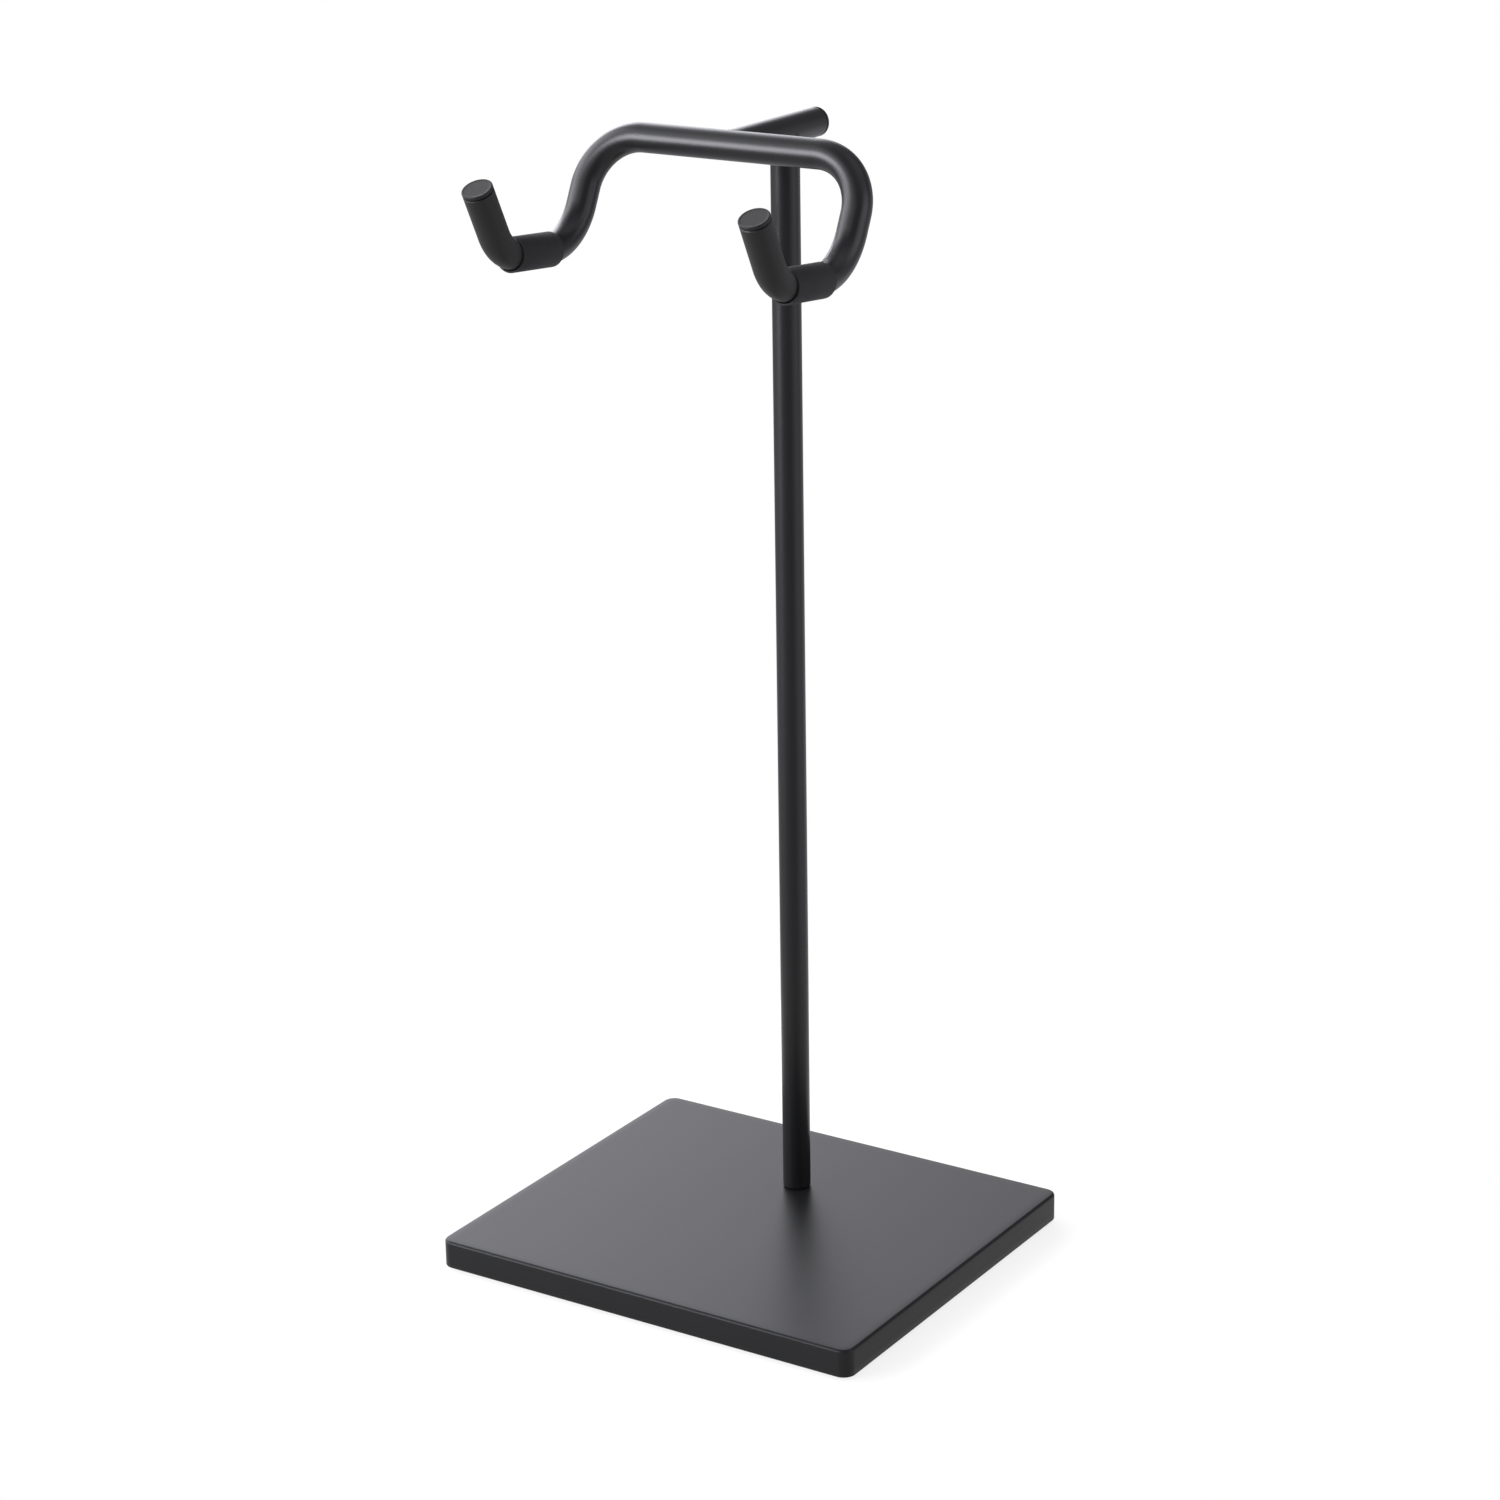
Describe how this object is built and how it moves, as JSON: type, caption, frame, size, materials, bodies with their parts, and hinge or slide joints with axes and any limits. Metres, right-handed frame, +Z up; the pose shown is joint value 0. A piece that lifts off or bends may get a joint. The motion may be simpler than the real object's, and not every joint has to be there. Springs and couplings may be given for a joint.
{
  "type": "headphone stand",
  "caption": "Tall desktop headphone stand: flat weighted base, single round post and a bent crossbar ending in two upturned padded hooks.",
  "frame": {"origin": "on the surface that the stand rests on, under the middle of its whole footprint (base and hook tips)", "axes": "+X along the crossbar, to the right as seen from the front; hooks point to -Y, so the front is -Y; +Z up along the post"},
  "size_m": [0.16, 0.1426, 0.38],
  "materials": {
    "black_steel": "fine matt black powder coat with a satin sheen",
    "ballast": "plain, hidden inside the base",
    "bare_steel": "zinc plated",
    "black_rubber": "very matt black rubber",
    "black_cover": "matt black shrink sleeve",
    "black_plastic": "fine matt moulded plastic"
  },
  "bodies": {
    "root": {"base_cover": "black_steel", "post_tube": "black_steel", "spine_tube": "black_steel", "hook_tube": "black_steel", "base_weight": "ballast", "post_screw": "bare_steel", "post_washer": "bare_steel", "post_plug": "bare_steel", "sleeve_left": "black_rubber", "sleeve_right": "black_rubber", "foot_front_left": "black_rubber", "foot_front_right": "black_rubber", "foot_rear_left": "black_rubber", "foot_rear_right": "black_rubber", "tip_cover_left": "black_cover", "tip_cover_right": "black_cover", "tip_plug_left": "black_plastic", "tip_plug_right": "black_plastic", "spine_plug": "black_plastic", "base_lining": "black_plastic"}
  },
  "joints": []
}
